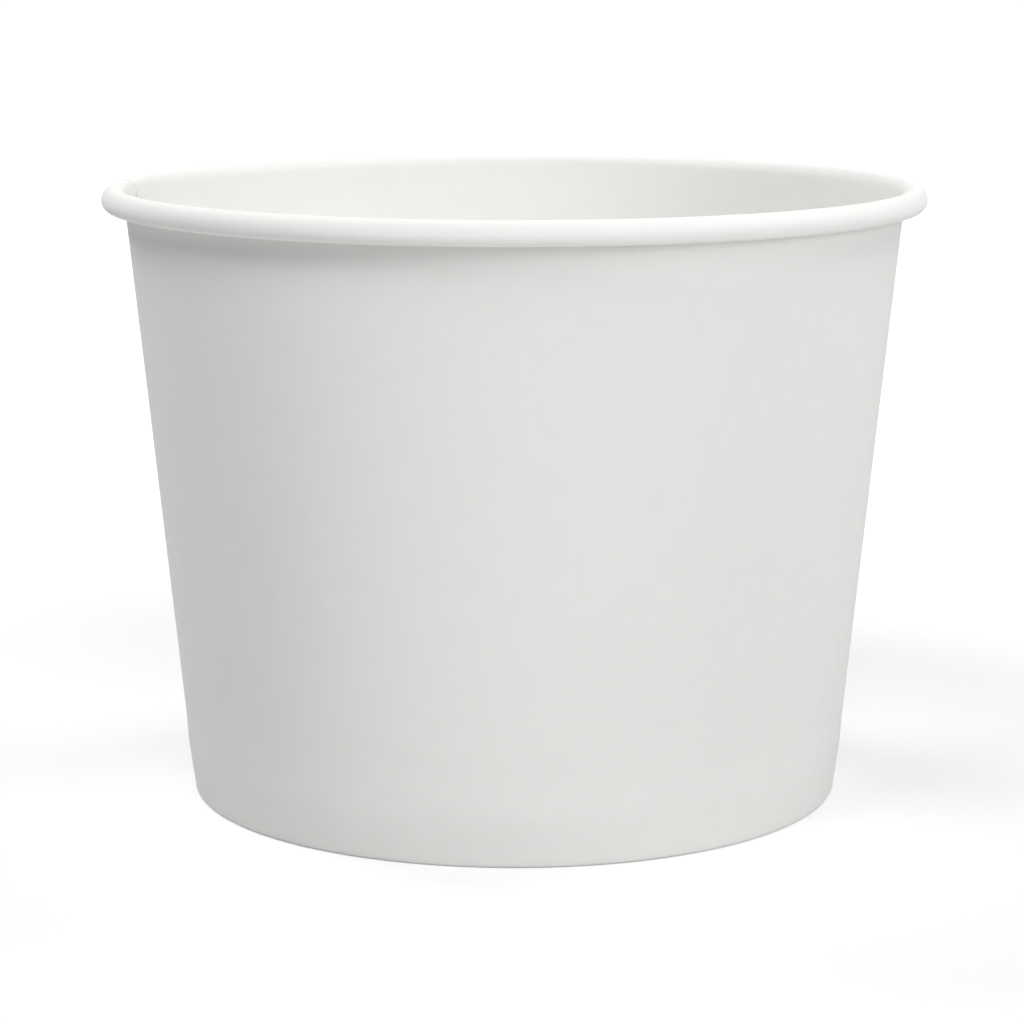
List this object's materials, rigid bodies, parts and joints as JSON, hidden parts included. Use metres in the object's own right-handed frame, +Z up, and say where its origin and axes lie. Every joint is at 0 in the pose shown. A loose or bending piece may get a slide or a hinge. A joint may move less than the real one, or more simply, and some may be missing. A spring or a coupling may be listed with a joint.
{
  "type": "paper soup cup",
  "caption": "Squat white paperboard soup cup with a rolled rim, tapered side wall, side lap seam and a base disc clamped in a folded foot.",
  "frame": {"origin": "on the cup's axis, in the plane of the foot ring that stands on the table", "axes": "+Z up along the cup's axis towards the mouth; -Y is the front; the side lap seam is at the left end, 8 degrees behind -X, where the front view doesn't show it"},
  "size_m": [0.112, 0.112, 0.0835],
  "materials": {
    "coated_paperboard": "matt white coated board, faint sheen",
    "base_paperboard": "matt white coated board, faint sheen"
  },
  "bodies": {
    "root": {"side_wall": "coated_paperboard", "base_disc": "base_paperboard"}
  },
  "joints": []
}
